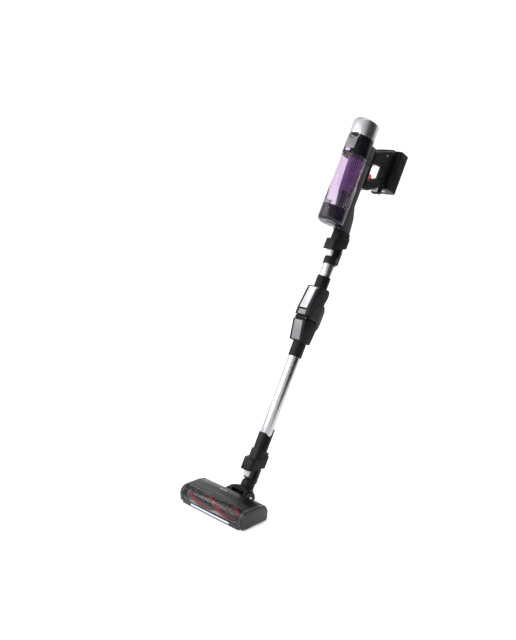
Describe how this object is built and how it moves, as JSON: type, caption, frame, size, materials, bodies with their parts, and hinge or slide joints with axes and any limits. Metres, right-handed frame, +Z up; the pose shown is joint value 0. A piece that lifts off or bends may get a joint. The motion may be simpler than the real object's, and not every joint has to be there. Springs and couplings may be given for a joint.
{
  "type": "cordless stick vacuum",
  "caption": "Upright stick vacuum: powered floor head on a swivel neck, folding tube wand, handheld unit with clear cyclone bin, loop handle and slide-off battery.",
  "frame": {"origin": "in the hand grip, at the middle of the handle's top arm", "axes": "+Z up, X along the floor head, -Y forwards; the stick leans back to +Y by 29 degrees"},
  "size_m": [0.248, 0.7717, 1.0305],
  "materials": {
    "black_gloss": "gloss",
    "black_satin": "satin",
    "dark_grey": "satin",
    "mid_grey": "satin",
    "light_grey": "satin",
    "silver": "satin metal",
    "tube_aluminium": "brushed",
    "steel": "bare",
    "clear_smoke": "gloss",
    "clear_purple": "gloss",
    "purple": "gloss",
    "dark_purple": "gloss",
    "red": "gloss",
    "red_core": "satin",
    "bristle": "nylon tufts",
    "lamp": "diffuse",
    "board": "satin",
    "pulley": "satin",
    "rubber": "matte",
    "filter_paper": "pleated paper",
    "foam": "fibre mat",
    "impeller_green": "satin",
    "motor_can": "satin",
    "cell_wrap": "satin",
    "display": "gloss",
    "lilac": "gloss"
  },
  "bodies": {
    "handheld": {"handle_left": "black_satin", "handle_right": "black_satin", "handle_screws": "steel", "inlet_connector": "black_satin", "spine_duct": "dark_grey", "motor_housing": "black_gloss", "motor_cap": "silver", "front_fascia": "mid_grey", "display_lens": "display", "fan_motor": "motor_can", "pleated_filter": "filter_paper", "exhaust_filter": "foam", "trigger_spring": "steel"},
    "fan": {"fan_impeller": "impeller_green"},
    "bin_button": {"bin_release_button": "lilac"},
    "trigger": {"trigger": "red"},
    "battery": {"battery_case": "black_satin", "battery_cells": "cell_wrap", "charging_jack": "steel"},
    "battery_button": {"battery_button": "light_grey"},
    "bin": {"dust_bin": "clear_purple", "cyclone_shroud": "purple", "cyclone_cone": "dark_purple", "bin_gasket": "rubber", "lid_pin": "steel"},
    "lid": {"bin_lid": "dark_purple"},
    "latch": {"lid_latch": "mid_grey"},
    "upper_wand": {"fold_upper_shell": "black_satin", "lever_spring": "steel", "fold_grip_pad": "mid_grey", "upper_tube": "tube_aluminium", "wand_spigot": "black_satin", "fold_pin": "steel"},
    "wand_button": {"wand_release_button": "light_grey"},
    "fold_lever": {"fold_lever": "light_grey"},
    "lower_wand": {"wand_socket": "black_satin", "lower_tube": "tube_aluminium", "fold_lower_shell": "black_satin", "fold_front_plate": "mid_grey", "fold_hose_cover": "dark_grey", "fold_hose": "rubber"},
    "neck": {"neck_body": "black_satin"},
    "head_button": {"head_release_button": "light_grey"},
    "barrel": {"tilt_barrel": "black_satin"},
    "head": {"head_housing": "black_gloss", "sole_plate": "dark_grey", "brush_window": "clear_smoke", "led_lens": "lamp", "led_board": "board", "brush_motor": "motor_can", "drive_belt": "rubber", "end_cap_left": "dark_grey", "end_cap_right": "dark_grey", "tilt_pins": "steel"},
    "pinion": {"motor_pulley": "pulley"},
    "roller": {"roller_core": "red_core", "roller_bristles": "bristle", "roller_pulley": "pulley"},
    "wheel_left": {"rear_wheel_left": "rubber"},
    "wheel_right": {"rear_wheel_right": "rubber"}
  },
  "joints": [
    {"name": "fan_spin", "type": "hinge", "parent": "handheld", "child": "fan", "pos_m": [0, -0.0866, 0.05829], "axis": [0, 0.4848, 0.8746], "continuous": true},
    {"name": "bin_button_press", "type": "slide", "parent": "handheld", "child": "bin_button", "axis": [0, 0.8746, -0.4848], "range_m": [0, 0.002], "stiffness_N_per_m": 400},
    {"name": "trigger_pull", "type": "hinge", "parent": "handheld", "child": "trigger", "pos_m": [0, -0.06381, -0.05839], "axis": [-1, 0, 0], "range_deg": [0, 8], "stiffness_Nm_per_rad": 0.4, "springref_deg": -17.19, "deforming": ["trigger_spring"]},
    {"name": "battery_slide", "type": "slide", "parent": "handheld", "child": "battery", "axis": [0, -0.4848, -0.8746], "range_m": [0, 0.05]},
    {"name": "battery_button_press", "type": "slide", "parent": "handheld", "child": "battery_button", "axis": [0, 0.8746, -0.4848], "range_m": [0, 0.002], "stiffness_N_per_m": 400},
    {"name": "bin_slide", "type": "slide", "parent": "handheld", "child": "bin", "axis": [0, -0.8746, 0.4848], "range_m": [0, 0.06]},
    {"name": "lid_open", "type": "hinge", "parent": "bin", "child": "lid", "pos_m": [0, -0.18268, -0.18744], "axis": [1, 0, 0], "range_deg": [0, 60]},
    {"name": "latch_slide", "type": "slide", "parent": "bin", "child": "latch", "axis": [0, 0.4848, 0.8746], "range_m": [0, 0.003], "stiffness_N_per_m": 300},
    {"name": "wand_slide", "type": "slide", "parent": "handheld", "child": "upper_wand", "axis": [0, -0.4848, -0.8746], "range_m": [0, 0.06]},
    {"name": "wand_button_press", "type": "slide", "parent": "upper_wand", "child": "wand_button", "axis": [0, 0.8746, -0.4848], "range_m": [0, 0.0025], "stiffness_N_per_m": 400},
    {"name": "fold_lever_press", "type": "hinge", "parent": "upper_wand", "child": "fold_lever", "pos_m": [0, -0.27338, -0.34923], "axis": [1, 0, 0], "range_deg": [0, 4], "stiffness_Nm_per_rad": 1, "springref_deg": -11.46, "deforming": ["lever_spring"]},
    {"name": "fold", "type": "hinge", "parent": "upper_wand", "child": "lower_wand", "pos_m": [0, -0.32429, -0.42622], "axis": [-1, 0, 0], "range_deg": [0, 90], "deforming": ["fold_hose"]},
    {"name": "head_slide", "type": "slide", "parent": "lower_wand", "child": "neck", "axis": [0, -0.4848, -0.8746], "range_m": [0, 0.06]},
    {"name": "head_button_press", "type": "slide", "parent": "neck", "child": "head_button", "axis": [0, 0.8746, -0.4848], "range_m": [0, 0.0025], "stiffness_N_per_m": 400},
    {"name": "head_swivel", "type": "hinge", "parent": "neck", "child": "barrel", "pos_m": [0, -0.52998, -0.87359], "axis": [0, 0.4848, 0.8746], "range_deg": [-75, 75]},
    {"name": "head_tilt", "type": "hinge", "parent": "barrel", "child": "head", "pos_m": [0, -0.55298, -0.88828], "axis": [1, 0, 0], "range_deg": [-29, 45]},
    {"name": "roller_spin", "type": "hinge", "parent": "head", "child": "roller", "pos_m": [0, -0.64298, -0.89178], "axis": [1, 0, 0], "continuous": true},
    {"name": "pinion_spin", "type": "hinge", "parent": "head", "child": "pinion", "pos_m": [0, -0.59298, -0.89128], "axis": [1, 0, 0], "continuous": true},
    {"name": "wheel_left_spin", "type": "hinge", "parent": "head", "child": "wheel_left", "pos_m": [-0.0384, -0.55898, -0.90228], "axis": [1, 0, 0], "continuous": true},
    {"name": "wheel_right_spin", "type": "hinge", "parent": "head", "child": "wheel_right", "pos_m": [0.0384, -0.55898, -0.90228], "axis": [1, 0, 0], "continuous": true}
  ],
  "couplings": [
    {"joint": "pinion_spin", "follows": "roller_spin", "ratio": 1.7692}
  ]
}
